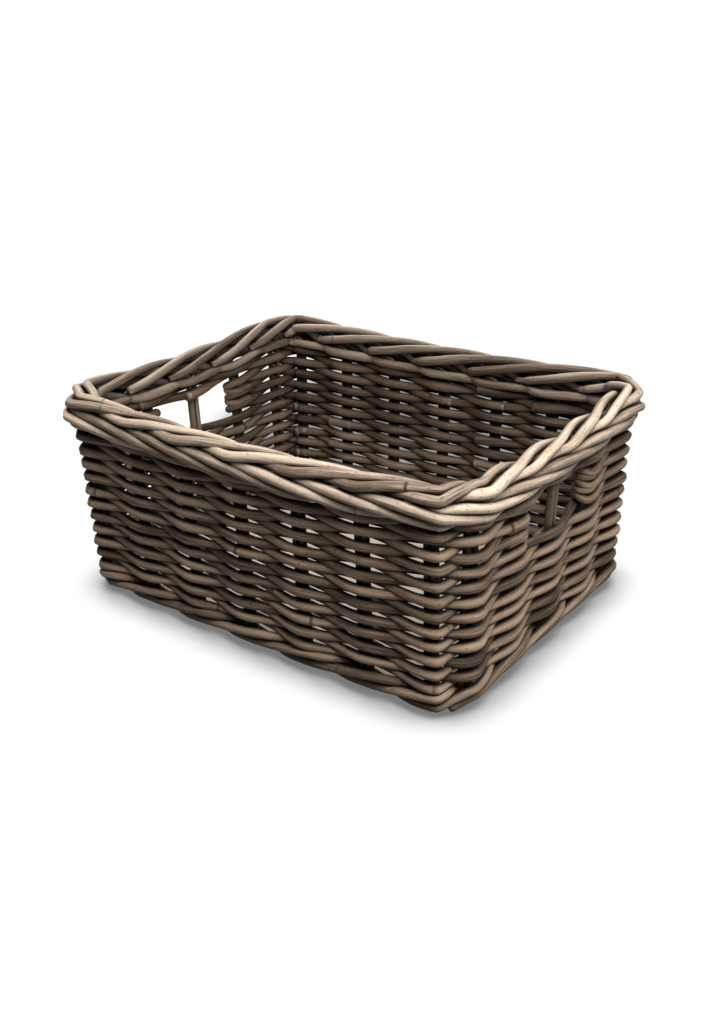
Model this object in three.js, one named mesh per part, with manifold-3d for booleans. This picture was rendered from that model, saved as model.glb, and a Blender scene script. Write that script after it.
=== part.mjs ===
// Rectangular rattan basket: paired stakes stand round a base board on a flat foot rod, two strands in
// plain weave make each row of the walls, and each stake runs on as one rod of the plaited border. Both
// short walls have a grip hole.
// Millimetres, +Z up. The origin is on the floor under the middle of the basket, X along its length.
import * as THREE from 'three';
import { mergeVertices } from 'three/addons/utils/BufferGeometryUtils.js';
import Module from 'manifold-3d';

const wasm = await Module();
wasm.setup();

// Plan of the stake line on the floor.
const LENGTH = 380;
const WIDTH = 278;
const LONG_BOW = 5;
const SHORT_BOW = 1;
const FLARE = 5;
const LONG_STAKES = 7;
const SHORT_STAKES = 5;
const LONG_CORNER_INSET = 14;
const SHORT_CORNER_INSET = 20;

// Rods. A four-sided weaver has the section area of a round rod of about 6.3 mm.
const WEAVER = 5.6;
const STAKE_ROD = 5;
const CLEARANCE = 0.3;

// Wall.
const ROWS = 11;
const FIRST_HOLE_ROW = 7;
const HOLE_ROWS = 3;

// Border. It stands higher at the corners than at the middle of each side.
const CORNER_RISE = 6;

// Base.
const FOOT_WIDTH = 12;
const FOOT_INWARD = 2;
const FOOT_HEIGHT = 4.6;
const BOARD_THICKNESS = 4;
const FLOAT = 2;

// Sizes that follow.
const STAKES = 2 * (LONG_STAKES + SHORT_STAKES);
const STAKE_SIDES = 5;
const PAIR_OFFSET = 0.42 * STAKE_ROD;
const WEAVE_OUT = STAKE_ROD / 2 + CLEARANCE + WEAVER / 2;
const WEAVE_UP = (WEAVER + 0.4) / 2;
const ROW_PITCH = 4 * WEAVE_UP;
const SEAT_Z = FOOT_HEIGHT + CLEARANCE;
const WALE_Z = SEAT_Z + BOARD_THICKNESS + CLEARANCE + ROW_PITCH / 2;
const FIRST_ROW_Z = WALE_Z + ROW_PITCH;
const TOP_ROW_Z = FIRST_ROW_Z + (ROWS - 1) * ROW_PITCH;

// Route of a border rod from its own stake on: stake spaces along the border, then rod widths
// outward from the stake line and up from the border's middle. It hooks over to the inner edge, passes
// the next stake on the inside, goes out behind the one after, runs down the outer face, tucks in and
// up behind the later rods, comes out again over them and crosses the top to the inner edge.
const BORDER_ROUTE = [
  [0.0, 0.0, -0.2], [0.36, -0.84, 0.84], [1.0, -1.72, 0.52], [1.27, -1.52, -0.32], [1.7, 0.92, -0.16],
  [2.15, 1.56, 0.36], [3.0, 2.56, -0.4], [4.0, 1.96, -2.16], [4.45, 1.08, -2.12], [4.95, 1.16, -1.2],
  [5.35, 0.48, 0.2], [5.75, 1.28, 1.32], [6.15, 1.96, 1.56], [6.75, 0.92, 2.4], [7.3, -0.76, 2.24],
  [7.75, -1.76, 1.8],
];
const LAY = STAKE_ROD + CLEARANCE;
const ROUTE_LOW = Math.min(...BORDER_ROUTE.map(([, , up]) => up));
const BORDER_Z = TOP_ROW_Z + ROW_PITCH / 2 + LAY / 2 - ROUTE_LOW * LAY;
const BYE_STAKE_TOP_Z = TOP_ROW_Z + ROW_PITCH / 2;

// Stake places, counter-clockwise from above: front, right, back, left.
function stakePlaces() {
  const halfLength = LENGTH / 2;
  const halfWidth = WIDTH / 2;
  const longEnd = halfLength - LONG_CORNER_INSET;
  const shortEnd = halfWidth - SHORT_CORNER_INSET;
  const half = [];
  for (let i = 0; i < LONG_STAKES; i++) {
    const x = longEnd * (2 * i / (LONG_STAKES - 1) - 1);
    const bow = LONG_BOW * (1 - (x / halfLength) ** 2);
    half.push(new THREE.Vector3(x, -halfWidth - bow, 0));
  }
  for (let i = 0; i < SHORT_STAKES; i++) {
    const y = shortEnd * (2 * i / (SHORT_STAKES - 1) - 1);
    const bow = SHORT_BOW * (1 - (y / halfWidth) ** 2);
    half.push(new THREE.Vector3(halfLength + bow, y, 0));
  }
  return [...half, ...half.map((place) => place.clone().negate())];
}
const places = stakePlaces();

// Outward at each stake, long enough for a line beside the stake line to keep its distance.
const outwards = places.map((place, i) => {
  const before = place.clone().sub(places[(i + STAKES - 1) % STAKES]).normalize();
  const after = places[(i + 1) % STAKES].clone().sub(place).normalize();
  const ahead = before.clone().add(after).normalize();
  return new THREE.Vector3(ahead.y, -ahead.x, 0).divideScalar(ahead.dot(after));
});

// The part of the corner rise at a place of the border.
function riseAt(stake) {
  const half = STAKES / 2;
  const place = ((stake % half) + half) % half;
  const long = (LONG_STAKES - 1) / 2;
  const short = (SHORT_STAKES - 1) / 2;
  const fromMiddle = place < LONG_STAKES ? place / long - 1 : (place - LONG_STAKES) / short - 1;
  return Math.min(1, fromMiddle ** 2);
}

// A point of the wall: stake number and part of a space, height, distance outward, distance along.
function wallPoint(stake, height, outward = 0, along = 0) {
  const before = Math.floor(stake);
  const [here, next] = [before, before + 1].map((i) => ((i % STAKES) + STAKES) % STAKES);
  const out = outwards[here].clone().lerp(outwards[next], stake - before);
  const point = places[here].clone().lerp(places[next], stake - before);
  point.addScaledVector(out, outward + FLARE * height / BORDER_Z);
  point.addScaledVector(new THREE.Vector3(-out.y, out.x, 0).normalize(), along);
  const raised = Math.max(0, height - FIRST_ROW_Z) / (BORDER_Z - FIRST_ROW_Z);
  point.z = height + CORNER_RISE * riseAt(stake) * raised;
  return point;
}

function regularSection(sides, radius) {
  return Array.from({ length: sides }, (_, i) => {
    const angle = 2 * Math.PI * i / sides;
    return new THREE.Vector2(radius * Math.cos(angle), radius * Math.sin(angle));
  });
}

function flatSection(width, height) {
  const w = width / 2;
  const h = height / 2;
  return [[w, -h], [w, h], [-w, h], [-w, -h]].map(([x, y]) => new THREE.Vector2(x, y));
}

// A closed rod along points. The section's second axis keeps the given direction, or is carried from
// step to step so that the section doesn't twist.
function rod(points, section, direction, carried = false) {
  const across = direction.clone().normalize();
  const rings = points.map((point, i) => {
    const ahead = new THREE.Vector3();
    if (i > 0) ahead.add(point.clone().sub(points[i - 1]).normalize());
    if (i < points.length - 1) ahead.add(points[i + 1].clone().sub(point).normalize());
    ahead.normalize();
    if (carried) across.addScaledVector(ahead, -across.dot(ahead)).normalize();
    const side = across.clone().cross(ahead).normalize();
    return section.map((corner) => point.clone().addScaledVector(side, corner.x)
      .addScaledVector(across, corner.y));
  });
  const sides = section.length;
  const last = (rings.length - 1) * sides;
  const faces = [];
  for (let i = 0; i < last; i += sides) {
    for (let j = 0; j < sides; j++) {
      const next = (j + 1) % sides;
      faces.push(i + j, i + next, i + sides + next, i + j, i + sides + next, i + sides + j);
    }
  }
  for (let j = 1; j < sides - 1; j++) {
    faces.push(0, j + 1, j, last, last + j, last + j + 1);
  }
  const geometry = new THREE.BufferGeometry();
  const positions = rings.flat().flatMap((corner) => corner.toArray());
  geometry.setAttribute('position', new THREE.Float32BufferAttribute(positions, 3));
  geometry.setIndex(faces);
  return geometry;
}

function joined(first, second) {
  const [a, b] = [first, second].map((geometry) => {
    const welded = mergeVertices(geometry, 1e-4);
    const vertProperties = new Float32Array(welded.attributes.position.array);
    const triVerts = new Uint32Array(welded.index.array);
    return new wasm.Manifold(new wasm.Mesh({ numProp: 3, vertProperties, triVerts }));
  });
  const mesh = a.add(b).getMesh();
  const geometry = new THREE.BufferGeometry();
  geometry.setAttribute('position', new THREE.Float32BufferAttribute(mesh.vertProperties, 3));
  geometry.setIndex([...mesh.triVerts]);
  return geometry;
}

const UP = new THREE.Vector3(0, 0, 1);
const basket = new THREE.Group();

function add(name, geometry, colour, roughness) {
  const material = new THREE.MeshStandardMaterial({ color: colour, roughness, metalness: 0 });
  geometry.computeVertexNormals();
  const mesh = new THREE.Mesh(geometry, material);
  mesh.name = name;
  basket.add(mesh);
}

const RATTAN = 0x8f7c68;
const BORDER_RATTAN = 0xb9a68f;
const BOARD = 0xd9ccb8;

// Along the wall, a strand lies against a stake for this far to each side of it.
function lieLength(stake) {
  const here = wallPoint(stake, 0);
  const spaces = [-1, 1].map((step) => wallPoint(stake + step, 0).distanceTo(here));
  return Math.min(...spaces) / 4;
}

// A strand's points where it passes a group of stakes: it falls by twice the slant on the outside and
// rises as far on the inside.
function passPoints(first, count, outside, z, slant) {
  const side = outside ? 1 : -1;
  const points = [];
  for (let i = 0; i < count; i++) {
    const lie = lieLength(first + i);
    [2 * i, 2 * i + 1].forEach((step) => {
      const lift = side * slant * (1 - 2 * step / (2 * count - 1));
      points.push(wallPoint(first + i, z + lift, side * WEAVE_OUT, step % 2 ? lie : -lie));
    });
  }
  return points;
}

// A rod that starts and ends inside a group of stakes, with its two ends a clearance apart.
function buttedRod(first, count, z, slant, between) {
  const pass = passPoints(first, count, false, z, slant);
  const middle = first + (count - 1) / 2;
  const ends = [1, -1].map((way) => wallPoint(middle, z, -WEAVE_OUT, way * CLEARANCE / 2));
  const points = [ends[0], ...pass.slice(count), ...between, ...pass.slice(0, count), ends[1]];
  return rod(points, flatSection(WEAVER, WEAVER), UP);
}

// A strand once round the basket. The stakes are shared out into groups, and it passes one group on
// the inside and the next on the outside, from the group where its ends meet.
function ringStrand(z, slant, float, start, from) {
  const groups = 2 * Math.round(STAKES / float / 2);
  const firstOf = (group) => start + Math.round(group * STAKES / groups);
  const countOf = (group) => firstOf(group + 1) - firstOf(group);
  const between = [];
  for (let group = from + 1; group < from + groups; group++) {
    const outside = (group - from) % 2 === 1;
    between.push(...passPoints(firstOf(group), countOf(group), outside, z, slant));
  }
  return buttedRod(firstOf(from), countOf(from), z, slant, between);
}

// The turn of a rod round the stake beside a grip hole, from the lower strand on the outside to the
// upper one on the inside.
function turnPoints(stake, way, rowZ) {
  const step = 25 * Math.PI / 180;
  const radius = WEAVE_OUT / Math.cos(step);
  return [3, 1, -1, -3].map((steps) => {
    const along = way * (PAIR_OFFSET + radius * Math.cos(steps * step));
    return wallPoint(stake, rowZ - steps / 3 * WEAVE_UP, radius * Math.sin(steps * step), along);
  });
}

// One rod that runs between two grip holes as both strands of a row, turning back at each hole.
function holeStrand(rowZ, from, to) {
  const start = from + 1 + 2 * Math.floor((to - from) / 4);
  const levels = [rowZ - WEAVE_UP, rowZ + WEAVE_UP];
  const pass = (stake, strand) => {
    return passPoints(stake, 1, (stake - from + strand) % 2 === 0, levels[strand], 0);
  };
  const between = [];
  for (let stake = start + 1; stake < to; stake++) between.push(...pass(stake, 0));
  between.push(pass(to, 0)[0], ...turnPoints(to, 1, rowZ), pass(to, 1)[0]);
  for (let stake = to - 1; stake > from; stake--) between.push(...pass(stake, 1).reverse());
  between.push(pass(from, 1)[1], ...turnPoints(from, -1, rowZ).reverse(), pass(from, 0)[1]);
  for (let stake = from + 1; stake < start; stake++) between.push(...pass(stake, 0));
  return buttedRod(start, 1, levels[0], 0, between);
}

// The route with a point added at each corner stake that it passes, so that it bends there.
function routeFrom(stake) {
  const corners = [0, LONG_STAKES - 1, LONG_STAKES, LONG_STAKES + SHORT_STAKES - 1];
  const half = STAKES / 2;
  const route = [BORDER_ROUTE[0]];
  BORDER_ROUTE.slice(1).forEach((next, i) => {
    const from = BORDER_ROUTE[i];
    for (let spaces = Math.floor(from[0]) + 1; spaces < next[0]; spaces++) {
      if (!corners.includes((stake + spaces) % half)) continue;
      const part = (spaces - from[0]) / (next[0] - from[0]);
      route.push(from.map((value, k) => value + part * (next[k] - value)));
    }
    route.push(next);
  });
  return route;
}

// A stake with its border rod, and the shorter stake that stands beside it.
function stakePair(stake) {
  const border = routeFrom(stake).map(([spaces, out, up]) => {
    const place = stake + spaces;
    return wallPoint(place, BORDER_Z + up * LAY, out * LAY, spaces < 0.2 ? -PAIR_OFFSET : 0);
  });
  const main = [wallPoint(stake, SEAT_Z, 0, -PAIR_OFFSET), ...border];
  const bye = [SEAT_Z, BYE_STAKE_TOP_Z].map((z) => wallPoint(stake, z, 0, PAIR_OFFSET));
  const section = regularSection(STAKE_SIDES, STAKE_ROD / 2);
  const out = wallPoint(stake, 0, 1).sub(wallPoint(stake, 0, 0));
  return joined(rod(main, section, out, true), rod(bye, section, out));
}

for (let stake = 0; stake < STAKES; stake++) {
  const number = String(stake + 1).padStart(2, '0');
  add(`stake_${number}`, stakePair(stake), BORDER_RATTAN, 0.6);
}

// Wall rows. The joints of the strands step round the basket from row to row.
const holeStakes = [LONG_STAKES + (SHORT_STAKES - 1) / 2, 2 * LONG_STAKES + (3 * SHORT_STAKES - 1) / 2];
for (let row = 0; row < ROWS; row++) {
  const rowZ = FIRST_ROW_Z + row * ROW_PITCH;
  const number = String(row + 1).padStart(2, '0');
  const joint = STAKES / 2 + 1 + 4 * row;
  const inHole = row >= FIRST_HOLE_ROW && row < FIRST_HOLE_ROW + HOLE_ROWS;
  if (inHole) {
    const [right, left] = holeStakes;
    add(`weaver_${number}_front`, holeStrand(rowZ, left + 1 - STAKES, right - 1), RATTAN, 0.65);
    add(`weaver_${number}_back`, holeStrand(rowZ, right + 1, left - 1), RATTAN, 0.65);
  } else {
    add(`weaver_${number}_a`, ringStrand(rowZ - WEAVE_UP, 0, 1, joint, 0), RATTAN, 0.65);
    add(`weaver_${number}_b`, ringStrand(rowZ + WEAVE_UP, 0, 1, joint, 3), RATTAN, 0.65);
  }
}

// Foot: a flat rod under the stakes and the board's edge, and a row of pairing with longer floats.
function footRod() {
  const start = STAKES / 2 + (LONG_STAKES - 1) / 2;
  const stakes = Array.from({ length: STAKES - 1 }, (_, i) => start + 1 + i);
  const middle = FOOT_HEIGHT / 2;
  const ends = [1, -1].map((way) => wallPoint(start, middle, -FOOT_INWARD, way * CLEARANCE / 2));
  const points = [ends[0], ...stakes.map((stake) => wallPoint(stake, middle, -FOOT_INWARD)), ends[1]];
  return rod(points, flatSection(FOOT_WIDTH, FOOT_HEIGHT), UP);
}
add('foot_rod', footRod(), RATTAN, 0.65);
add('foot_wale_a', ringStrand(WALE_Z, WEAVE_UP, FLOAT, STAKES / 2, 0), RATTAN, 0.65);
add('foot_wale_b', ringStrand(WALE_Z, WEAVE_UP, FLOAT, STAKES / 2, 1), RATTAN, 0.65);

// Base board, inside the ring of stakes and on the foot rod.
function baseBoard() {
  const outline = places.map((_, stake) => wallPoint(stake, SEAT_Z, -STAKE_ROD / 2 - CLEARANCE));
  const shape = new THREE.Shape(outline.map((point) => new THREE.Vector2(point.x, point.y)));
  const geometry = new THREE.ExtrudeGeometry(shape, { depth: BOARD_THICKNESS, bevelEnabled: false });
  return geometry.translate(0, 0, SEAT_Z);
}
add('base_board', baseBoard(), BOARD, 0.7);

export default basket;
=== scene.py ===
"""Rattan basket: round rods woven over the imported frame, with procedural rattan and a plain stage."""
import math
import random

import bmesh
import bpy
import numpy as np
from bpy.props import FloatProperty, FloatVectorProperty, IntProperty, PointerProperty
from mathutils import Matrix, Vector


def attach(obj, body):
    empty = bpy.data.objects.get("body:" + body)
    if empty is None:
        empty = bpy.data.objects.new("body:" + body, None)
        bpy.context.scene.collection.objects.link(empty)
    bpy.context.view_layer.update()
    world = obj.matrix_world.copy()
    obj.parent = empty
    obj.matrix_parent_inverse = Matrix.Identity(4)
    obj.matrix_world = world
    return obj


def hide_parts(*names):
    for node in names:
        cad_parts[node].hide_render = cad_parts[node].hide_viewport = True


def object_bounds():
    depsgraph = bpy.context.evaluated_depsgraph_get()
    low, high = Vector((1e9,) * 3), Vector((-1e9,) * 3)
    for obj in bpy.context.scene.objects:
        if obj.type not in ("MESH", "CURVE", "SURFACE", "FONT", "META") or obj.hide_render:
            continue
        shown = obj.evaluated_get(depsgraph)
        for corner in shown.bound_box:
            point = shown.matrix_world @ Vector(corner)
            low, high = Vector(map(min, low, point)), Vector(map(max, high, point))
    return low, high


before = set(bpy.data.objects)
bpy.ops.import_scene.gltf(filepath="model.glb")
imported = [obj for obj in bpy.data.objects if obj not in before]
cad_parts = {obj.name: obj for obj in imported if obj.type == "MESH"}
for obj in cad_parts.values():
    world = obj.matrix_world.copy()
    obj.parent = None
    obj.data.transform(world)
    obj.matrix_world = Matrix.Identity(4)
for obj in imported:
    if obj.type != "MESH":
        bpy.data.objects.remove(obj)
CAD_BOX = [[float(value) for value in corner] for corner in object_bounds()]

bl_info = {
    "name": "Rattan Basket",
    "version": (1, 0, 0),
    "blender": (4, 5, 0),
    "location": "View3D > Sidebar > Basket",
    "description": "Weaves a rectangular rattan basket round its packed frame",
    "category": "Object",
}

LONG_STAKES = 7
SHORT_STAKES = 5
STAKES = 2 * (LONG_STAKES + SHORT_STAKES)
ROWS = 11
FIRST_GRIP_ROW = 7
GRIP_ROWS = 3
GRIP_EDGES = ((-2, 8), (10, 20))
CORNER_STAKES = (0, 6, 7, 11, 12, 18, 19, 23)
BEND_PAST = 0.004
MM = 0.001

# Distance between the leaf rings of a rod, and the length over which a ring fades.
KNOT_SPACING = 0.30
KNOT_LENGTH = 0.0016

# Half the distance between the two rods of a stake pair, and how far a wall rod is pressed into them.
PAIR_OFFSET = 0.0031
WEAVE_BITE = 0.0012

# Thickness of a wall rod at the stakes, and what is pressed away between them, as parts of its diameter.
ROD_AT_STAKE = 1.11
ROD_PRESSED = 0.23

# The top row is pushed up against the border, and its rods are stouter.
TOP_ROW_LIFT = 0.0009
TOP_ROW_STOUTER = 1.1

# A rod of a strand begins this many stake spaces before its first stake and ends past its last one. From a
# little before the last stake on, it is tucked inward behind the rod that follows.
ROD_BEFORE = 0.16
ROD_PAST = 0.27
TUCK_BEFORE = 0.12
TUCK_DEPTH = 0.0056

# Steps of a turn round a stake. The extra turns at the grip holes reach back along the wall, slanted.
TURN_STEPS = 13
WRAP_REACH = 0.016
WRAP_TUCK = 0.55
WRAP_SLANT = 0.0008

# Steps of an upright rod and of a border rod. The stakes' feet are drawn in under the wall.
STEM_STEPS = 44
BORDER_STEPS = 150
FOOT_TUCK = 0.0035
FOOT_TUCK_HEIGHT = 0.026

# Gap between the board's edge and the stakes, and the bevel of that edge.
BOARD_GAP = 0.003
BOARD_BEVEL = 0.0006

# Route of a border rod from its own stake on: stake spaces along the border, then millimetres outward
# from the stake line and up from the border's middle.
BORDER_ROUTE = (
    (0.00, 0.0, -17.0), (0.04, -0.2, -12.5), (0.30, -4.0, -9.0), (0.65, -7.4, -8.4), (1.00, -8.8, -9.0),
    (1.25, -7.8, -9.2), (1.50, -1.8, -7.2), (1.75, 4.8, -3.4), (2.00, 6.6, 0.0), (2.50, 10.4, 0.4),
    (3.00, 12.4, -2.4), (3.50, 12.0, -6.6), (4.00, 9.6, -10.2), (4.40, 6.0, -10.2), (4.75, 5.4, -7.0),
    (5.00, 6.0, -5.4), (5.25, 3.0, -2.0), (5.45, 3.2, 2.6), (5.70, 6.0, 6.0), (6.00, 9.8, 6.6),
    (6.50, 7.4, 10.4), (7.00, 2.6, 11.2), (7.40, -3.2, 10.2), (7.80, -7.8, 7.2), (8.12, -8.8, 3.2),
    (8.45, -6.8, -0.8), (8.70, -3.6, -3.0),
)

# Route of a foot strand over three stake spaces: places, then millimetres outward and up from the floor.
# The stakes stand at 0.5 and 1.5, where the strand is outside, and at 2.5, where it is inside.
FOOT_ROUTE = (
    (-0.50, -6.4, 11.0), (-0.20, -5.6, 6.0), (0.10, -1.2, 4.0), (0.50, 2.6, 6.4), (1.00, 5.2, 11.2),
    (1.50, 6.8, 16.0), (1.85, 5.6, 18.2), (2.15, -0.5, 17.4), (2.50, -6.4, 11.0), (2.80, -5.6, 6.0),
    (3.10, -1.2, 4.0),
)

# The foot's strands: piece, the node it stands for, the places where its rods begin, the stake spaces that a
# rod runs, and its straight lead along the wall where it begins at a corner.
FOOT_STRANDS = (
    ("foot_strand_a", "foot_wale_a", (12.15, 24.15), 11.05, 0.020),
    ("foot_strand_b", "foot_wale_b", (7.15, 19.15), 11.05, 0.024),
    ("foot_strand_c", "foot_rod", (8.15, 20.15), 12.2, 0.0),
)
# A lead ends just before the corner, and falls and draws in by these parts of its length.
LEAD_END = 0.003
LEAD_FALL = 0.09
LEAD_IN = 0.05

# Lamps: name, place, strength, width in degrees, and whether the floor is all they light or all they don't.
SUNS = (
    ("floor_top_light", (0.02, 0.0, 1.0), 0.7, 30.0, "INCLUDE"),
    ("floor_front_light", (0.421, -0.826, 0.375), 6.9, 7.0, "INCLUDE"),
    ("overhead", (0.03, 0.0, 1.0), 2.15, 34.0, "EXCLUDE"),
)
# Softboxes, which leave the floor out: name, place, width and watts.
SOFTBOXES = (
    ("near_softbox", (0.40, -0.40, 0.84), 0.35, 2.8),
    ("right_softbox", (0.78, -0.2, 0.82), 0.4, 6.2),
    ("back_softbox", (-0.7, 0.9, 0.6), 0.5, 5.5),
)
SOFTBOX_AIM = (0.0, 0.0, 0.1)

# The floor lies just under the basket, and the shadow painted into its colour reaches this far from where they
# touch.
FLOOR_SIZE = 40.0
FLOOR_DROP = 0.0004
CONTACT_REACH = 0.05
FLOOR_GLOW = 0.03
WORLD_LIGHT = 0.03

# Camera of the photograph: angles in degrees, the point it turns about, distance and lens.
CAMERA_AZIMUTH, CAMERA_ELEVATION, CAMERA_ROLL = 37.32, 26.63, -1.21
CAMERA_AIM = (0.0, 0.0, 0.0283)
CAMERA_DISTANCE = 1.01
CAMERA_LENS = 55.7
CAMERA_SHIFT = (-0.0014, 0.0532)


class BasketSizes(bpy.types.PropertyGroup):
    """Sizes of the basket and its rods."""
    length: FloatProperty(name="Length", description="Stake line on the floor, along X",
                          default=0.380, unit="LENGTH")
    width: FloatProperty(name="Width", description="Stake line on the floor, along Y",
                         default=0.278, unit="LENGTH")
    long_bow: FloatProperty(name="Long bow", description="How far a long wall bows outward",
                            default=0.005, unit="LENGTH")
    short_bow: FloatProperty(name="Short bow", description="How far a short wall bows outward",
                             default=0.001, unit="LENGTH")
    flare: FloatProperty(name="Flare", description="How far a wall leans outward up to the border",
                         default=0.005, unit="LENGTH")
    long_inset: FloatProperty(name="Long inset", description="Last stake of a long wall to the corner",
                              default=0.014, unit="LENGTH")
    short_inset: FloatProperty(name="Short inset", description="Last stake of a short wall to the corner",
                               default=0.020, unit="LENGTH")
    corner_rise: FloatProperty(name="Corner rise", description="Border at the corners above its middle",
                               default=0.006, unit="LENGTH")
    seat: FloatProperty(name="Seat", description="Height of the stakes' feet and the board's underside",
                        default=0.0049, unit="LENGTH")
    first_row: FloatProperty(name="First row", description="Middle of the lowest wall row",
                             default=0.0272, unit="LENGTH")
    row_pitch: FloatProperty(name="Row pitch", description="Height of one wall row",
                             default=0.012, unit="LENGTH")
    border_height: FloatProperty(name="Border height", description="Middle of the border",
                                 default=0.1673, unit="LENGTH")
    weaver: FloatProperty(name="Weaver", description="Diameter of a wall rod", default=0.0079, unit="LENGTH")
    stake: FloatProperty(name="Stake", description="Diameter of a stake", default=0.0063, unit="LENGTH")
    border_rod: FloatProperty(name="Border rod", description="Diameter of a rod in the border",
                              default=0.0081, unit="LENGTH")
    board: FloatProperty(name="Board", description="Thickness of the base board",
                         default=0.004, unit="LENGTH")
    strand_steps: IntProperty(name="Strand steps", description="Steps of a strand from stake to stake",
                              default=16, min=8)
    rod_sides: IntProperty(name="Rod sides", description="Bevel resolution of the rods", default=3, min=1)


class BasketColours(bpy.types.PropertyGroup):
    """Colours of the rattan and the board."""
    border_light: FloatVectorProperty(name="Border light", description="Bleached skin of the border rods",
                                      subtype="COLOR", default=(0.78, 0.615, 0.468))
    border_dark: FloatVectorProperty(name="Border dark", description="Shaded grain of the border rods",
                                     subtype="COLOR", default=(0.18, 0.122, 0.08))
    wall_light: FloatVectorProperty(name="Wall light", description="Skin of the wall rods",
                                    subtype="COLOR", default=(0.47, 0.336, 0.231))
    wall_dark: FloatVectorProperty(name="Wall dark", description="Shaded grain of the wall rods",
                                   subtype="COLOR", default=(0.075, 0.048, 0.03))
    # The knot colour is also the colour that crevices and inner sides are darkened toward, as painted shade.
    knot: FloatVectorProperty(name="Knot and shade", description="Dark ring where a leaf grew",
                              subtype="COLOR", default=(0.028, 0.017, 0.0105))
    pith: FloatVectorProperty(name="Pith", description="Cut end of a rod",
                              subtype="COLOR", default=(0.32, 0.245, 0.17))
    plywood: FloatVectorProperty(name="Plywood", description="Face of the base board",
                                 subtype="COLOR", default=(0.50, 0.43, 0.355))
    floor: FloatVectorProperty(name="Floor", description="Floor of the stage",
                               subtype="COLOR", default=(0.95, 0.95, 0.95))


class WallLine:
    """The line of the stakes: points of the wall by stake number, height and distance outward."""

    def __init__(self, sizes):
        self.sizes = sizes
        half_length, half_width = sizes.length / 2, sizes.width / 2
        long_end, short_end = half_length - sizes.long_inset, half_width - sizes.short_inset
        front = [(x, -half_width - sizes.long_bow * (1 - (x / half_length) ** 2))
                 for x in np.linspace(-long_end, long_end, LONG_STAKES)]
        right = [(half_length + sizes.short_bow * (1 - (y / half_width) ** 2), y)
                 for y in np.linspace(-short_end, short_end, SHORT_STAKES)]
        half = np.array(front + right)
        places = np.concatenate([half, -half])
        keys, line = [], []
        for stake in range(STAKES):
            before = places[stake] - places[stake - 1]
            after = places[(stake + 1) % STAKES] - places[stake]
            keys.append(stake)
            line.append(places[stake])
            if stake in CORNER_STAKES:
                keys.append(stake + BEND_PAST / np.linalg.norm(after))
                line.append(places[stake] + BEND_PAST * before / np.linalg.norm(before))
        line = np.array(line)
        ahead = np.roll(line, -1, 0) - line
        ahead = ahead / np.linalg.norm(ahead, axis=1)[:, None]
        middle = ahead + np.roll(ahead, 1, 0)
        middle = middle / np.linalg.norm(middle, axis=1)[:, None]
        reach = np.sum(middle * ahead, 1)[:, None]
        outs = np.column_stack([middle[:, 1], -middle[:, 0]]) / reach
        self.keys = np.arange(STAKES * 80) / 80
        self.tables = [self.rounded(np.interp(self.keys, keys, values, period=STAKES))
                       for values in (*line.T, *outs.T)]

    @staticmethod
    def rounded(values, width=9):
        """Values round the basket with their bends eased over a few millimetres."""
        window = np.hanning(width + 2)[1:-1]
        window = window / window.sum()
        reach = width // 2
        return np.convolve(np.concatenate([values[-reach:], values, values[:reach]]), window, "valid")

    def rise(self, stake):
        """The part of the corner rise at each place."""
        place = np.mod(stake, STAKES / 2)
        long, short = (LONG_STAKES - 1) / 2, (SHORT_STAKES - 1) / 2
        side = np.where(place < LONG_STAKES, place / long - 1, (place - LONG_STAKES) / short - 1)
        return np.minimum(1, side ** 2)

    def points(self, stake, height, outward=0.0, along=0.0):
        """Points of the wall. Every argument is a number or an array."""
        stake = np.atleast_1d(np.asarray(stake, float))
        x, y, out_x, out_y = (np.interp(stake, self.keys, table, period=STAKES) for table in self.tables)
        height = np.broadcast_to(height, stake.shape)
        outward = np.broadcast_to(outward, stake.shape) + self.sizes.flare * height / self.sizes.border_height
        along = np.broadcast_to(along, stake.shape) / np.hypot(out_x, out_y)
        x = x + out_x * outward - out_y * along
        y = y + out_y * outward + out_x * along
        low = self.sizes.first_row
        raised = np.maximum(0, height - low) / (self.sizes.border_height - low)
        z = height + self.sizes.corner_rise * self.rise(stake) * raised
        return np.column_stack([x, y, z])


class Sway:
    """A smooth, small wander along a rod."""

    def __init__(self, draw, size, slow=0.12, fast=0.8, waves=4):
        self.waves = [(draw.uniform(slow, fast), draw.uniform(0, math.tau)) for _ in range(waves)]
        self.size = size / math.sqrt(waves)

    def __call__(self, place):
        return self.size * sum(np.sin(math.tau * rate * place + turn) for rate, turn in self.waves)


def lengths_along(path):
    """Distance along a path at each of its points."""
    steps = np.linalg.norm(np.diff(path, axis=0), axis=1)
    return np.concatenate([[0.0], np.cumsum(steps)])


def draw_knots(draw, along, spacing):
    """Strength of the leaf rings along a rod: one at each drawn place, fading within a few millimetres."""
    strength = np.zeros(len(along))
    place = draw.uniform(0.2, 1.0) * spacing
    while place < along[-1]:
        strength = np.maximum(strength, draw.uniform(0.55, 1.0) * np.exp(-((along - place) / KNOT_LENGTH) ** 2))
        place += draw.uniform(0.6, 1.5) * spacing
    return strength


def facing_in(mesh, path, ring):
    """How far each point of a rod's skin faces the inside of the basket, from 0 to 1."""
    places = np.empty(3 * len(mesh.vertices))
    mesh.vertices.foreach_get("co", places)
    places = places.reshape(-1, 3)[-ring * len(path):]
    ways = places - np.repeat(path, ring, 0)
    ways = ways / np.linalg.norm(ways, axis=1)[:, None]
    half = np.abs(np.array(CAD_BOX[1][:2]))
    inward = -np.sum(ways[:, :2] * (places[:, :2] / half) ** 5, 1)
    return np.clip(0.5 + inward, 0, 1)


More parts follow.
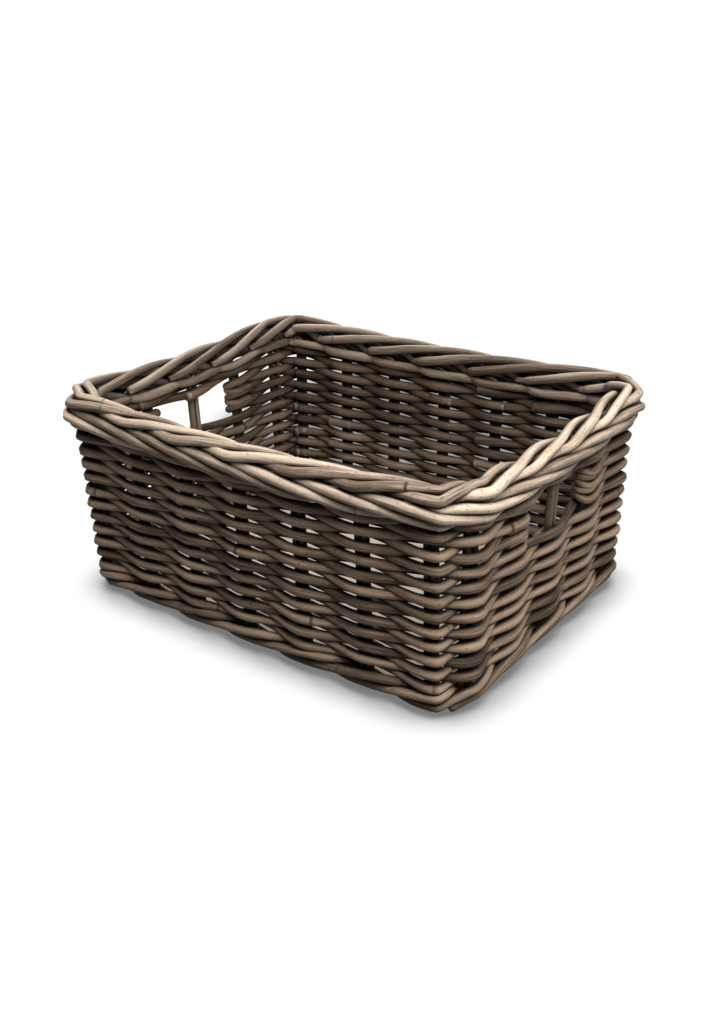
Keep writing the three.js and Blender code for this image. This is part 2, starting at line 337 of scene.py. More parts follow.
def add_rod(bm, path, radius, draw, sides, hidden=0):
    """Adds one round rod with closed, cut ends along a path. Its map runs in metres along the rod.

    The first hidden points lie inside the wall and are darkened like the inner sides, as painted shade."""
    along = lengths_along(path)
    knots = draw_knots(draw, along, KNOT_SPACING)
    swell = 1 + 0.035 * Sway(draw, 1.0, 4, 14)(along) + 0.05 * knots
    radii = np.broadcast_to(radius, along.shape) * swell
    curve = bpy.data.curves.new("rod", "CURVE")
    curve.dimensions = "3D"
    curve.bevel_depth = 1.0
    curve.bevel_resolution = sides
    curve.use_fill_caps = True
    spline = curve.splines.new("POLY")
    spline.points.add(len(path) - 1)
    spline.points.foreach_set("co", np.column_stack([path, np.ones(len(path))]).ravel())
    spline.points.foreach_set("radius", radii)
    holder = bpy.data.objects.new("rod", curve)
    mesh = bpy.data.meshes.new_from_object(holder)
    ring = 4 + 2 * sides
    caps = len(mesh.vertices) - ring * len(path)
    map_data = mesh.uv_layers[0].data
    coords = np.empty(2 * len(map_data))
    map_data.foreach_get("uv", coords)
    coords = coords.reshape(-1, 2)
    coords[:, 0] = np.interp(coords[:, 0] * (len(path) - 1), np.arange(len(path)), along)
    map_data.foreach_set("uv", coords.ravel())
    tone = mesh.attributes.new("tone", "FLOAT", "POINT")
    tone.data.foreach_set("value", np.full(len(mesh.vertices), draw.random()))
    knot = mesh.attributes.new("knot", "FLOAT", "POINT")
    knot.data.foreach_set("value", np.concatenate([np.zeros(caps), np.repeat(knots, ring)]))
    # Inner sides and hidden points, where the skin is darkened: partly less bleached rattan, partly painted
    # shade.
    inner = mesh.attributes.new("inner", "FLOAT", "POINT")
    shaded = np.repeat(np.arange(len(path)) < hidden, ring)
    inside = np.maximum(shaded, facing_in(mesh, path, ring))
    inner.data.foreach_set("value", np.concatenate([np.zeros(caps), inside]))
    sizes = np.empty(len(mesh.polygons), int)
    mesh.polygons.foreach_get("loop_total", sizes)
    mesh.polygons.foreach_set("material_index", (sizes == 3).astype(int))
    bm.from_mesh(mesh)
    bpy.data.meshes.remove(mesh)
    bpy.data.objects.remove(holder)
    bpy.data.curves.remove(curve)


def finish_piece(bm, name, nodes, materials):
    """Turns a bmesh into a piece that rides on the basket and stands for its CAD nodes."""
    bmesh.ops.remove_doubles(bm, verts=bm.verts, dist=1e-6)
    bmesh.ops.recalc_face_normals(bm, faces=bm.faces)
    mesh = bpy.data.meshes.new(name)
    bm.to_mesh(mesh)
    bm.free()
    mesh.polygons.foreach_set("use_smooth", [True] * len(mesh.polygons))
    for material in materials:
        mesh.materials.append(material)
    piece = bpy.data.objects.new(name, mesh)
    bpy.context.scene.collection.objects.link(piece)
    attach(piece, "root")
    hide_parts(*nodes)
    return piece


def link(tree, source, target):
    tree.links.new(source, target)


def node(tree, kind, place=(0, 0), **settings):
    """Adds a node and sets its properties."""
    made = tree.nodes.new(kind)
    made.location = place
    for key, value in settings.items():
        setattr(made, key, value)
    return made


def maths(tree, operation, first, second=None, clamp=False):
    """Adds a Math node. Each value is a socket or a number."""
    made = node(tree, "ShaderNodeMath", operation=operation, use_clamp=clamp)
    for socket, value in zip(made.inputs, (first, second)):
        if value is None:
            continue
        if isinstance(value, (int, float)):
            socket.default_value = value
        else:
            link(tree, value, socket)
    return made.outputs[0]


def ranged(tree, value, low, high, to_low=0.0, to_high=1.0):
    """Adds a Map Range node with smooth ends."""
    made = node(tree, "ShaderNodeMapRange", interpolation_type="SMOOTHSTEP")
    link(tree, value, made.inputs["Value"])
    made.inputs["From Min"].default_value = low
    made.inputs["From Max"].default_value = high
    made.inputs["To Min"].default_value = to_low
    made.inputs["To Max"].default_value = to_high
    return made.outputs["Result"]


def noise(tree, vector, scale, detail=2.0, rough=0.5):
    """Adds a Noise node and returns its value."""
    made = node(tree, "ShaderNodeTexNoise")
    link(tree, vector, made.inputs["Vector"])
    made.inputs["Scale"].default_value = scale
    made.inputs["Detail"].default_value = detail
    made.inputs["Roughness"].default_value = rough
    return made.outputs["Fac"]


def mixed(tree, factor, first, second):
    """Adds a colour Mix node. Each value is a socket, a number or a colour."""
    made = node(tree, "ShaderNodeMix", data_type="RGBA")
    for socket, value in ((made.inputs[0], factor), (made.inputs[6], first), (made.inputs[7], second)):
        if isinstance(value, (int, float)):
            socket.default_value = value
        elif isinstance(value, (tuple, list)):
            socket.default_value = (*value[:3], 1.0)
        else:
            link(tree, value, socket)
    return made.outputs[2]


def rattan_skin_group():
    """Shared look of a rod's skin: long fibres, leaf rings, specks and weathered patches, with painted shade in
    crevices and on the sides facing into the basket.
    """
    found = bpy.data.node_groups.get("rattan_skin")
    if found:
        return found
    tree = bpy.data.node_groups.new("rattan_skin", "ShaderNodeTree")
    face = tree.interface
    for name in ("Light", "Dark", "Knot and shade"):
        face.new_socket(name, in_out="INPUT", socket_type="NodeSocketColor")
    for name in ("Color", "Roughness", "Height"):
        kind = "NodeSocketColor" if name == "Color" else "NodeSocketFloat"
        face.new_socket(name, in_out="OUTPUT", socket_type=kind)
    entry = node(tree, "NodeGroupInput")
    leave = node(tree, "NodeGroupOutput")
    rod_map = node(tree, "ShaderNodeUVMap", uv_map="UVMap")
    split = node(tree, "ShaderNodeSeparateXYZ")
    link(tree, rod_map.outputs["UV"], split.inputs[0])
    tone = node(tree, "ShaderNodeAttribute", attribute_name="tone").outputs["Fac"]
    knot = node(tree, "ShaderNodeAttribute", attribute_name="knot").outputs["Fac"]
    inner = node(tree, "ShaderNodeAttribute", attribute_name="inner").outputs["Fac"]
    turn = maths(tree, "MULTIPLY", split.outputs["Y"], math.tau)
    across = maths(tree, "COSINE", turn)
    beside = maths(tree, "SINE", turn)
    shift = maths(tree, "MULTIPLY", tone, 61.0)

    def rod_vector(along_rate, round_rate):
        joined = node(tree, "ShaderNodeCombineXYZ")
        rate = maths(tree, "MULTIPLY", split.outputs["X"], along_rate)
        link(tree, maths(tree, "ADD", rate, shift), joined.inputs[0])
        link(tree, maths(tree, "MULTIPLY", across, round_rate), joined.inputs[1])
        link(tree, maths(tree, "MULTIPLY", beside, round_rate), joined.inputs[2])
        return joined.outputs[0]

    fibre = noise(tree, rod_vector(34.0, 3.4), 1.0, 5.0, 0.62)
    patch = noise(tree, rod_vector(14.0, 0.7), 1.0, 3.0, 0.55)
    fleck = noise(tree, rod_vector(420.0, 2.6), 1.0, 2.0, 0.5)
    scuff = noise(tree, rod_vector(60.0, 9.0), 1.0, 3.0, 0.6)
    grain = ranged(tree, fibre, 0.34, 0.66)
    cloud = ranged(tree, patch, 0.3, 0.7)
    light_part = maths(tree, "ADD", maths(tree, "MULTIPLY", grain, 0.5), maths(tree, "MULTIPLY", cloud, 0.35))
    light_part = maths(tree, "ADD", light_part, maths(tree, "MULTIPLY", tone, 0.95))
    light_part = maths(tree, "SUBTRACT", light_part, 0.32, clamp=True)
    skin = mixed(tree, light_part, entry.outputs["Dark"], entry.outputs["Light"])
    specks = ranged(tree, fleck, 0.645, 0.72, 0.0, 0.85)
    skin = mixed(tree, specks, skin, entry.outputs["Knot and shade"])
    lines = ranged(tree, scuff, 0.61, 0.70, 0.0, 0.62)
    skin = mixed(tree, lines, skin, entry.outputs["Knot and shade"])
    ring = ranged(tree, knot, 0.25, 0.8, 0.0, 0.85)
    skin = mixed(tree, ring, skin, entry.outputs["Knot and shade"])
    # Sides facing into the basket and stems hidden in the wall darken toward the knot colour: partly less
    # bleached skin, partly painted shade.
    unbleached_and_shade = ranged(tree, inner, 0.35, 1.0, 0.0, 0.62)
    skin = mixed(tree, unbleached_and_shade, skin, entry.outputs["Knot and shade"])
    # Painted shade: crevices between rods are darkened toward the knot colour by ambient occlusion.
    shade = node(tree, "ShaderNodeAmbientOcclusion", samples=6)
    shade.inputs["Distance"].default_value = 0.015
    painted_crevice_shade = ranged(tree, shade.outputs["AO"], 0.33, 1.0, 1.0, 0.0)
    skin = mixed(tree, painted_crevice_shade, skin, entry.outputs["Knot and shade"])
    link(tree, skin, leave.inputs["Color"])
    link(tree, ranged(tree, fibre, 0.3, 0.7, 0.8, 0.55), leave.inputs["Roughness"])
    height = maths(tree, "SUBTRACT", grain, maths(tree, "MULTIPLY", lines, 0.8))
    link(tree, maths(tree, "SUBTRACT", height, maths(tree, "MULTIPLY", ring, 0.7)), leave.inputs["Height"])
    return tree


def new_material(name):
    """A material with an empty tree and a Principled shader, or the one already made."""
    found = bpy.data.materials.get(name)
    if found:
        return found, None, None
    material = bpy.data.materials.new(name)
    material.use_nodes = True
    tree = material.node_tree
    tree.nodes.clear()
    shader = node(tree, "ShaderNodeBsdfPrincipled", (300, 0))
    output = node(tree, "ShaderNodeOutputMaterial", (600, 0))
    link(tree, shader.outputs[0], output.inputs["Surface"])
    return material, tree, shader


def rattan_material(name, light, dark, knot):
    """Rattan with its skin on, in the given colours."""
    material, tree, shader = new_material(name)
    if tree is None:
        return material
    skin = node(tree, "ShaderNodeGroup", (-100, 0), node_tree=rattan_skin_group())
    for socket, colour in zip(("Light", "Dark", "Knot and shade"), (light, dark, knot)):
        skin.inputs[socket].default_value = (*colour, 1.0)
    link(tree, skin.outputs["Color"], shader.inputs["Base Color"])
    link(tree, skin.outputs["Roughness"], shader.inputs["Roughness"])
    shader.inputs["Specular IOR Level"].default_value = 0.3
    bump = node(tree, "ShaderNodeBump", (100, -200))
    bump.inputs["Strength"].default_value = 0.5
    bump.inputs["Distance"].default_value = 0.0003
    link(tree, skin.outputs["Height"], bump.inputs["Height"])
    link(tree, bump.outputs["Normal"], shader.inputs["Normal"])
    return material


def pith_material(colour):
    """Cut end of a rod: pale pith with fine dark pores."""
    material, tree, shader = new_material("cut_pith")
    if tree is None:
        return material
    place = node(tree, "ShaderNodeTexCoord").outputs["Object"]
    pores = ranged(tree, noise(tree, place, 1400.0, 2.0), 0.45, 0.62)
    dirt = ranged(tree, noise(tree, place, 160.0, 3.0), 0.35, 0.65, 0.0, 0.5)
    face = mixed(tree, pores, tuple(colour), tuple(0.35 * value for value in colour))
    face = mixed(tree, dirt, face, tuple(0.5 * value for value in colour))
    link(tree, face, shader.inputs["Base Color"])
    shader.inputs["Roughness"].default_value = 0.85
    return material


def plywood_material(colour):
    """Pale sanded board with long grain along the basket."""
    material, tree, shader = new_material("pale_plywood")
    if tree is None:
        return material
    place = node(tree, "ShaderNodeTexCoord").outputs["Object"]
    stretch = node(tree, "ShaderNodeMapping")
    stretch.inputs["Scale"].default_value = (4.0, 70.0, 70.0)
    link(tree, place, stretch.inputs["Vector"])
    grain = noise(tree, stretch.outputs["Vector"], 1.0, 6.0, 0.62)
    cloud = noise(tree, place, 9.0, 2.0)
    face = mixed(tree, ranged(tree, grain, 0.35, 0.7, 0.0, 0.55), tuple(colour), tuple(0.66 * c for c in colour))
    face = mixed(tree, ranged(tree, cloud, 0.3, 0.7, 0.0, 0.2), face, tuple(0.8 * c for c in colour))
    link(tree, face, shader.inputs["Base Color"])
    link(tree, ranged(tree, grain, 0.3, 0.7, 0.55, 0.75), shader.inputs["Roughness"])
    return material


def weave_shape(turn):
    """From 1 on the outside of a stake to -1 on the inside of the next."""
    return (np.cos(turn) + 0.06 * np.cos(3 * turn)) / 1.06


class Weaver:
    """Paths of the rods that pass the stakes."""

    def __init__(self, sizes):
        self.sizes = sizes
        self.wall = WallLine(sizes)
        self.out = sizes.stake / 2 + sizes.weaver / 2 - WEAVE_BITE
        self.level = sizes.row_pitch / 4

    def run(self, height, start, stop, outside_at, sway_up, sway_out):
        """A strand from one place to another, outside at every second stake. Places may fall."""
        count = max(2, int(abs(stop - start) * self.sizes.strand_steps))
        place = np.linspace(start, stop, count)
        outward = self.out * weave_shape(math.pi * (place - outside_at))
        level = self.level if outside_at % 2 else -self.level
        return place, height + level + sway_up(place), outward + sway_out(place)

    @staticmethod
    def squeeze(place, outside_at):
        """Rods press flat on each other between the stakes."""
        return ROD_AT_STAKE - ROD_PRESSED * np.sin(math.pi * (place - outside_at)) ** 2


def ring_strand(weaver, bm, name, height, outside_at, joints, row_sway, width):
    """Adds a strand once round the basket, as several rods whose ends lie behind a stake."""
    sizes = weaver.sizes
    draw = random.Random(name)
    sway_out = Sway(draw, 0.0004)
    own_sway = Sway(draw, 0.0003)
    joints = sorted(joints)
    for first, last in zip(joints, joints[1:] + [joints[0] + STAKES]):
        place, z, outward = weaver.run(height, first - ROD_BEFORE, last + ROD_PAST, outside_at,
                                       lambda p: row_sway(p) + own_sway(p), sway_out)
        past = np.clip((place - (last - TUCK_BEFORE)) / (TUCK_BEFORE + ROD_PAST), 0, 1)
        outward = outward - TUCK_DEPTH * past ** 1.5
        z = z + draw.uniform(-0.001, 0.0015) * past
        radius = width / 2 * draw.uniform(0.95, 1.05) * weaver.squeeze(place, outside_at)
        add_rod(bm, weaver.wall.points(place, z, outward), radius, draw, sizes.rod_sides)


def grip_strand(weaver, bm, name, height, edges, row_sway):
    """Adds the rods of a row that ends at the grip holes: both strands, turned round the edge stakes."""
    sizes = weaver.sizes
    draw = random.Random(name)
    sway_out = Sway(draw, 0.0004)
    near, far = edges
    middle = near + 1 + 2 * ((far - near) // 4)

    def turned(stake, way):
        angle = np.linspace(math.pi / 2, -math.pi / 2, TURN_STEPS)[1:-1]
        outward = weaver.out * np.sin(angle)
        along = way * (PAIR_OFFSET + weaver.out * np.cos(angle))
        place = np.full(len(angle), float(stake))
        return place, height - weaver.level * np.sin(angle) + row_sway(place), outward, along

    def straight(start, stop, outside_at):
        place, z, outward = weaver.run(height, start, stop, outside_at, row_sway, sway_out)
        return place, z, outward, np.zeros(len(place))

    ends = 0.2
    halves = (
        (straight(middle - ends, far, near), turned(far, 1), straight(far, middle - 1 - ends, near + 1)),
        (straight(middle - 1 + ends, near, near + 1), [part[::-1] for part in turned(near, -1)],
         straight(near, middle + ends, near)),
    )
    for half in halves:
        place, z, outward, along = (np.concatenate(parts) for parts in zip(*half))
        radius = sizes.weaver / 2 * draw.uniform(0.95, 1.04)
        add_rod(bm, weaver.wall.points(place, z, outward, along), radius, draw, sizes.rod_sides)


def edge_wraps(weaver, bm, name, height, edges, row_sway):
    """Adds the extra turns that cover the stakes beside the grip holes."""
    draw = random.Random(name + "_wrap")
    near, far = edges
    for stake, way in ((near, -1), (far, 1)):
        tuck = np.linspace(0.0, 1.0, 8)
        angle = np.linspace(math.pi / 2, -math.pi / 2, TURN_STEPS)
        lead_out = weaver.out * (WRAP_TUCK + (1 - WRAP_TUCK) * tuck)
        lead = -WRAP_REACH + (WRAP_REACH + PAIR_OFFSET) * tuck
        outward = np.concatenate([lead_out, weaver.out * np.sin(angle), -lead_out[::-1]])
        along = way * np.concatenate([lead, PAIR_OFFSET + weaver.out * np.cos(angle), lead[::-1]])
        place = np.full(len(along), float(stake))
        z = height + row_sway(place) + np.linspace(WRAP_SLANT, -WRAP_SLANT, len(along))
        keep = np.ones(len(along), bool)
        keep[[len(tuck), len(tuck) + len(angle) - 1]] = False
        path = weaver.wall.points(place[keep], z[keep], outward[keep], along[keep])
        radius = weaver.sizes.weaver / 2 * draw.uniform(0.92, 1.0)
        add_rod(bm, path, radius, draw, weaver.sizes.rod_sides)


def smooth_through(keys, values, places):
    """A smooth curve through values at rising keys, with slopes taken from their neighbours."""
    keys, values = np.asarray(keys), np.asarray(values)
    slopes = np.gradient(values, keys)
    index = np.clip(np.searchsorted(keys, places, side="right") - 1, 0, len(keys) - 2)
    step = keys[index + 1] - keys[index]
    part = (places - keys[index]) / step
    f2, f3 = part ** 2, part ** 3
    return ((2 * f3 - 3 * f2 + 1) * values[index] + (f3 - 2 * f2 + part) * step * slopes[index]
            + (3 * f2 - 2 * f3) * values[index + 1] + (f3 - f2) * step * slopes[index + 1])


def stem_points(weaver, stake, top, along, lean):
    """Points of an upright rod from the stakes' seat to its top."""
    height = np.linspace(weaver.sizes.seat, top, STEM_STEPS)
    tuck = -FOOT_TUCK * np.clip(1 - height / FOOT_TUCK_HEIGHT, 0, 1) ** 1.5
    place = np.full(len(height), float(stake))
    return weaver.wall.points(place, height, tuck, along + lean * (height / top - 0.5))


def stake_pair(weaver, bm, stake):
    """Adds a stake with its border rod, and the shorter stake beside it."""
    sizes = weaver.sizes
    draw = random.Random(f"stake {stake}")
    keys, outs, ups = np.array(BORDER_ROUTE).T
    stop = keys[-1] - draw.uniform(0.0, 0.3)
    place = np.concatenate([np.linspace(0, 0.3, 10)[:-1], np.linspace(0.3, stop, BORDER_STEPS)])
    outward = MM * smooth_through(keys, outs, place) + Sway(draw, 0.0004)(place)
    height = sizes.border_height + MM * smooth_through(keys, ups, place)
    along = -PAIR_OFFSET * np.clip(1 - place / 0.25, 0, 1)
    border = weaver.wall.points(stake + place, height, outward, along)
    stem = stem_points(weaver, stake, height[0] - 0.004, -PAIR_OFFSET, draw.uniform(-0.0006, 0.0006))
    thick = sizes.border_rod / 2 * draw.uniform(0.94, 1.06)
    widen = np.clip((place - 0.05) / 0.5, 0, 1)
    tip = np.clip((keys[-1] - place) / 0.3, 0.8, 1)
    radius = np.concatenate([np.full(len(stem), sizes.stake / 2),
                             (sizes.stake / 2 + (thick - sizes.stake / 2) * widen) * tip])
    add_rod(bm, np.concatenate([stem, border]), radius, draw, sizes.rod_sides, len(stem))
    top = height[0] - draw.uniform(0.0, 0.003)
    beside = stem_points(weaver, stake, top, PAIR_OFFSET, draw.uniform(-0.0008, 0.0008))
    add_rod(bm, beside, sizes.stake / 2 * draw.uniform(0.95, 1.03), draw, sizes.rod_sides, len(beside))


def wall_materials(colours):
    """Skin and cut ends of the wall rods."""
    return [rattan_material("wall_rod_skin", colours.wall_light, colours.wall_dark, colours.knot),
            pith_material(colours.pith)]


def row_height(sizes, row):
    """Middle of a wall row. The top row is pushed up against the border."""
    return sizes.first_row + row * sizes.row_pitch + (TOP_ROW_LIFT if row == ROWS - 1 else 0.0)


class BASKET_OT_stakes(bpy.types.Operator):
    """Stand the paired stakes and plait their ends into the border"""
    bl_idname = "basket.stakes"
    bl_label = "Stakes and Border"

    def execute(self, context):
        weaver = Weaver(context.scene.basket_sizes)
        colours = context.scene.basket_colours
        skin = rattan_material("border_rod_skin", colours.border_light, colours.border_dark, colours.knot)
        for stake in range(STAKES):
            bm = bmesh.new()
            stake_pair(weaver, bm, stake)
            finish_piece(bm, f"stake_pair_{stake + 1:02d}", [f"stake_{stake + 1:02d}"],
                         [skin, pith_material(colours.pith)])
        return {"FINISHED"}


class BASKET_OT_rows(bpy.types.Operator):
    """Weave the wall rows that go all the way round"""
    bl_idname = "basket.rows"
    bl_label = "Wall Rows"

    def execute(self, context):
        weaver = Weaver(context.scene.basket_sizes)
        materials = wall_materials(context.scene.basket_colours)
        for row in range(ROWS):
            if FIRST_GRIP_ROW <= row < FIRST_GRIP_ROW + GRIP_ROWS:
                continue
            sway = Sway(random.Random(f"row {row}"), 0.0005)
            height = row_height(weaver.sizes, row)
            for strand, letter in enumerate("ab"):
                bm = bmesh.new()
                first = 13 + strand + 4 * row
                joints = [first % STAKES, (first + 8) % STAKES, (first + 16) % STAKES]
                ring_strand(weaver, bm, f"row {row} {letter}", height, strand, joints, sway,
                            weaver.sizes.weaver * (TOP_ROW_STOUTER if row == ROWS - 1 else 1.0))
                finish_piece(bm, f"strand_{row + 1:02d}_{letter}", [f"weaver_{row + 1:02d}_{letter}"],
                             materials)
        return {"FINISHED"}


class BASKET_OT_grip_rows(bpy.types.Operator):
    """Weave the rows that turn back at the grip holes"""
    bl_idname = "basket.grip_rows"
    bl_label = "Grip Hole Rows"

    def execute(self, context):
        weaver = Weaver(context.scene.basket_sizes)
        materials = wall_materials(context.scene.basket_colours)
        for row in range(FIRST_GRIP_ROW, FIRST_GRIP_ROW + GRIP_ROWS):
            sway = Sway(random.Random(f"row {row}"), 0.0005)
            height = row_height(weaver.sizes, row)
            for side, edges in zip(("front", "back"), GRIP_EDGES):
                bm = bmesh.new()
                grip_strand(weaver, bm, f"row {row} {side}", height, edges, sway)
                if row > FIRST_GRIP_ROW:
                    between = height - weaver.sizes.row_pitch / 2
                    edge_wraps(weaver, bm, f"row {row} {side}", between, edges, sway)
                finish_piece(bm, f"strand_{row + 1:02d}_{side}", [f"weaver_{row + 1:02d}_{side}"],
                             materials)
        return {"FINISHED"}


class BASKET_OT_foot(bpy.types.Operator):
    """Weave the three strands of the foot, outside two stakes and inside one"""
    bl_idname = "basket.foot"
    bl_label = "Foot"

    def execute(self, context):
        weaver = Weaver(context.scene.basket_sizes)
        sizes = weaver.sizes
        materials = wall_materials(context.scene.basket_colours)
        keys, outs, heights = np.array(FOOT_ROUTE).T
        for strand, (piece, replaced, starts, spaces, lead_length) in enumerate(FOOT_STRANDS):
            bm = bmesh.new()
            draw = random.Random(piece)
            for first in starts:
                last = first + spaces
                place = np.linspace(first, last, int((last - first) * sizes.strand_steps))
                phase = np.mod(place - strand + 0.5, 3)
                outward = MM * smooth_through(keys, outs, phase) + Sway(draw, 0.0003)(place)
                height = MM * smooth_through(keys, heights, phase) + Sway(draw, 0.0003)(place)
                radius = sizes.weaver / 2 * draw.uniform(0.93, 1.0)
                along = np.zeros(len(place))
                if lead_length:
                    lead = np.linspace(-lead_length, -LEAD_END, 10)
                    place = np.concatenate([np.full(len(lead), first), place])
                    outward = np.concatenate([outward[0] + LEAD_IN * lead, outward])
                    height = np.concatenate([height[0] + LEAD_FALL * lead, height])
                    along = np.concatenate([lead, along])
                path = weaver.wall.points(place, np.maximum(height, radius + 0.0001), outward, along)
                add_rod(bm, path, radius, draw, sizes.rod_sides)
            finish_piece(bm, piece, [replaced], materials)
        return {"FINISHED"}


class BASKET_OT_board(bpy.types.Operator):
    """Cut the base board inside the ring of stakes"""
    bl_idname = "basket.board"
    bl_label = "Base Board"

    def execute(self, context):
        weaver = Weaver(context.scene.basket_sizes)
        sizes = weaver.sizes
        edge = weaver.wall.points(np.arange(0, STAKES, 0.25), sizes.seat, -sizes.stake / 2 - BOARD_GAP)
        bm = bmesh.new()
        verts = [bm.verts.new(point) for point in edge]
        face = bm.faces.new(verts)
        raised = bmesh.ops.extrude_face_region(bm, geom=[face])["geom"]
        bmesh.ops.translate(bm, verts=[part for part in raised if isinstance(part, bmesh.types.BMVert)],
                            vec=Vector((0, 0, sizes.board)))
        bmesh.ops.recalc_face_normals(bm, faces=bm.faces)
        rims = [line for line in bm.edges if abs(line.verts[0].co.z - line.verts[1].co.z) < 1e-6]
        bmesh.ops.bevel(bm, geom=rims, offset=BOARD_BEVEL, offset_type="OFFSET", affect="EDGES", segments=2,
                        profile=0.5, material=-1)
        piece = finish_piece(bm, "board", ["base_board"],
                             [plywood_material(context.scene.basket_colours.plywood)])
        piece.data.polygons.foreach_set("use_smooth", [False] * len(piece.data.polygons))
        return {"FINISHED"}


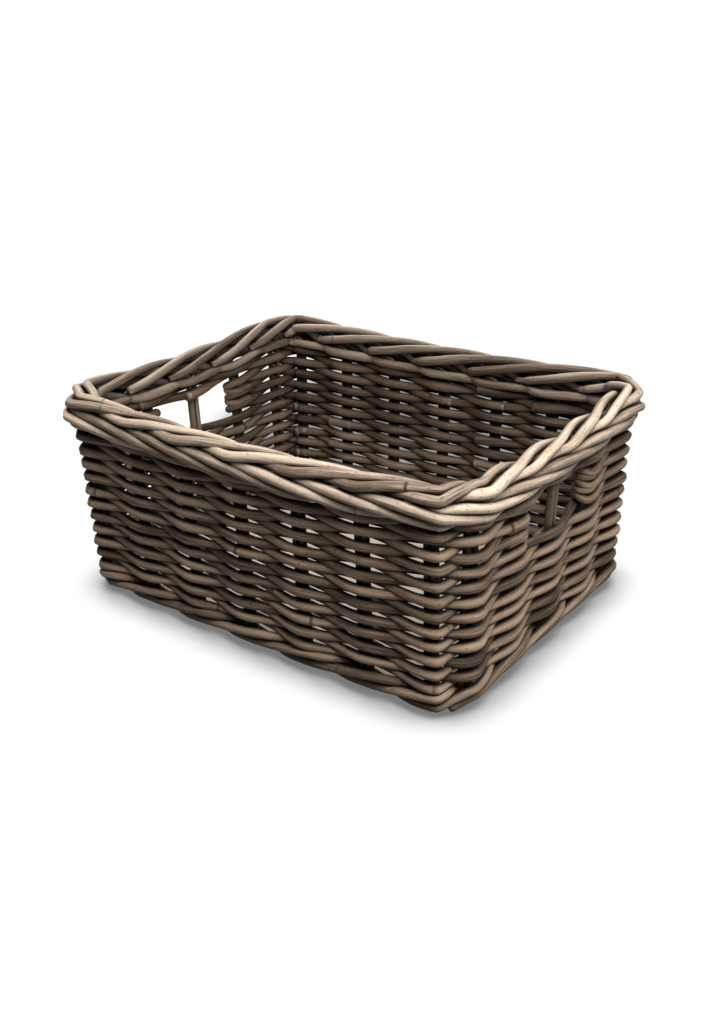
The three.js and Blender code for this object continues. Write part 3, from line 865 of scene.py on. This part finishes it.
class BASKET_OT_stage(bpy.types.Operator):
    """Set the white floor, the soft lights and the camera"""
    bl_idname = "basket.stage"
    bl_label = "Stage"

    def execute(self, context):
        scene = context.scene
        scene.view_settings.view_transform = "Standard"
        floor = self.floor(scene)
        self.world(scene)
        for name, place, strength, spread, state in SUNS:
            self.sun(scene, name, place, strength, spread, floor, state)
        for name, place, size, power in SOFTBOXES:
            self.softbox(scene, name, place, size, power, floor)
        self.camera(scene)
        return {"FINISHED"}

    @staticmethod
    def floor(scene):
        bm = bmesh.new()
        bmesh.ops.create_grid(bm, x_segments=1, y_segments=1, size=FLOOR_SIZE)
        bmesh.ops.translate(bm, verts=bm.verts, vec=Vector((0, 0, -FLOOR_DROP)))
        mesh = bpy.data.meshes.new("stage_floor")
        bm.to_mesh(mesh)
        bm.free()
        material, tree, shader = new_material("white_floor")
        # Painted shadow: the floor's colour darkens toward near black where ambient occlusion finds the basket
        # close.
        shade = node(tree, "ShaderNodeAmbientOcclusion", samples=16)
        shade.inputs["Distance"].default_value = CONTACT_REACH
        painted_contact_shadow = ranged(tree, shade.outputs["AO"], 0.34, 0.92, 0.82, 0.0)
        face = mixed(tree, painted_contact_shadow, tuple(scene.basket_colours.floor), (0.02, 0.02, 0.02))
        link(tree, face, shader.inputs["Base Color"])
        shader.inputs["Roughness"].default_value = 0.9
        shader.inputs["Specular IOR Level"].default_value = 0.0
        path = node(tree, "ShaderNodeLightPath")
        glow = node(tree, "ShaderNodeEmission")
        seen = maths(tree, "MAXIMUM", path.outputs["Is Camera Ray"], path.outputs["Is Glossy Ray"])
        link(tree, maths(tree, "MULTIPLY", seen, FLOOR_GLOW), glow.inputs["Strength"])
        both = node(tree, "ShaderNodeAddShader")
        link(tree, shader.outputs[0], both.inputs[0])
        link(tree, glow.outputs[0], both.inputs[1])
        dull = node(tree, "ShaderNodeBsdfDiffuse")
        dull.inputs["Color"].default_value = (0.12, 0.12, 0.12, 1.0)
        pick = node(tree, "ShaderNodeMixShader")
        link(tree, seen, pick.inputs[0])
        link(tree, dull.outputs[0], pick.inputs[1])
        link(tree, both.outputs[0], pick.inputs[2])
        output = next(made for made in tree.nodes if made.type == "OUTPUT_MATERIAL")
        link(tree, pick.outputs[0], output.inputs["Surface"])
        mesh.materials.append(material)
        floor = bpy.data.objects.new("stage_floor", mesh)
        scene.collection.objects.link(floor)
        return floor

    @staticmethod
    def world(scene):
        world = bpy.data.worlds.new("studio")
        world.use_nodes = True
        tree = world.node_tree
        tree.nodes.clear()
        path = node(tree, "ShaderNodeLightPath")
        seen = maths(tree, "MAXIMUM", path.outputs["Is Camera Ray"], path.outputs["Is Transmission Ray"])
        glow = node(tree, "ShaderNodeBackground")
        glow.inputs["Color"].default_value = (1.0, 1.0, 1.0, 1.0)
        strength = maths(tree, "ADD", maths(tree, "MULTIPLY", seen, 1 - WORLD_LIGHT), WORLD_LIGHT)
        link(tree, strength, glow.inputs["Strength"])
        output = node(tree, "ShaderNodeOutputWorld")
        link(tree, glow.outputs[0], output.inputs["Surface"])
        scene.world = world

    @staticmethod
    def add_lamp(scene, data, place, aim, floor, state):
        """Places a lamp and links it to the floor alone, or to all but the floor."""
        lamp = bpy.data.objects.new(data.name, data)
        lamp.location = place
        lamp.rotation_euler = (Vector(place) - Vector(aim)).to_track_quat("Z", "Y").to_euler()
        scene.collection.objects.link(lamp)
        linked = bpy.data.collections.new(data.name + "_link")
        linked.objects.link(floor)
        linked.collection_objects[0].light_linking.link_state = state
        lamp.light_linking.receiver_collection = linked

    def sun(self, scene, name, place, strength, spread, floor, state):
        data = bpy.data.lights.new(name, "SUN")
        data.energy = strength
        data.angle = math.radians(spread)
        self.add_lamp(scene, data, place, (0, 0, 0), floor, state)

    def softbox(self, scene, name, place, size, power, floor):
        data = bpy.data.lights.new(name, "AREA")
        data.energy = power
        data.size = size
        self.add_lamp(scene, data, place, SOFTBOX_AIM, floor, "EXCLUDE")

    @staticmethod
    def camera(scene):
        azimuth, elevation = math.radians(CAMERA_AZIMUTH), math.radians(CAMERA_ELEVATION)
        roll = math.radians(CAMERA_ROLL)
        back = Vector((math.sin(azimuth) * math.cos(elevation), -math.cos(azimuth) * math.cos(elevation),
                       math.sin(elevation)))
        level = Vector((math.cos(azimuth), math.sin(azimuth), 0.0))
        upright = back.cross(level)
        right = level * math.cos(roll) + upright * math.sin(roll)
        up = upright * math.cos(roll) - level * math.sin(roll)
        data = bpy.data.cameras.new("photo_camera")
        data.sensor_fit = "HORIZONTAL"
        data.sensor_width = 36.0
        data.lens = CAMERA_LENS
        data.shift_x, data.shift_y = CAMERA_SHIFT
        camera = bpy.data.objects.new("photo_camera", data)
        turn = Matrix((right, up, back)).transposed().to_4x4()
        camera.matrix_world = Matrix.Translation(Vector(CAMERA_AIM) + back * CAMERA_DISTANCE) @ turn
        scene.collection.objects.link(camera)
        scene.camera = camera


class BASKET_PT_panel(bpy.types.Panel):
    """Steps of the basket, with its sizes and colours"""
    bl_idname = "BASKET_PT_panel"
    bl_label = "Rattan Basket"
    bl_space_type = "VIEW_3D"
    bl_region_type = "UI"
    bl_category = "Basket"

    def draw(self, context):
        for step in STEPS:
            self.layout.operator(step.bl_idname)
        for group in (context.scene.basket_sizes, context.scene.basket_colours):
            box = self.layout.box()
            for name in group.__annotations__:
                box.prop(group, name)


STEPS = (BASKET_OT_stage, BASKET_OT_stakes, BASKET_OT_rows, BASKET_OT_grip_rows, BASKET_OT_foot, BASKET_OT_board)
CLASSES = (BasketSizes, BasketColours, *STEPS, BASKET_PT_panel)


def register():
    for part in CLASSES:
        bpy.utils.register_class(part)
    bpy.types.Scene.basket_sizes = PointerProperty(type=BasketSizes)
    bpy.types.Scene.basket_colours = PointerProperty(type=BasketColours)


def unregister():
    del bpy.types.Scene.basket_colours
    del bpy.types.Scene.basket_sizes
    for part in reversed(CLASSES):
        bpy.utils.unregister_class(part)


def main():
    register()
    bpy.ops.basket.stage()
    bpy.ops.basket.stakes()
    bpy.ops.basket.rows()
    bpy.ops.basket.grip_rows()
    bpy.ops.basket.foot()
    bpy.ops.basket.board()


if __name__ == "__main__":
    main()
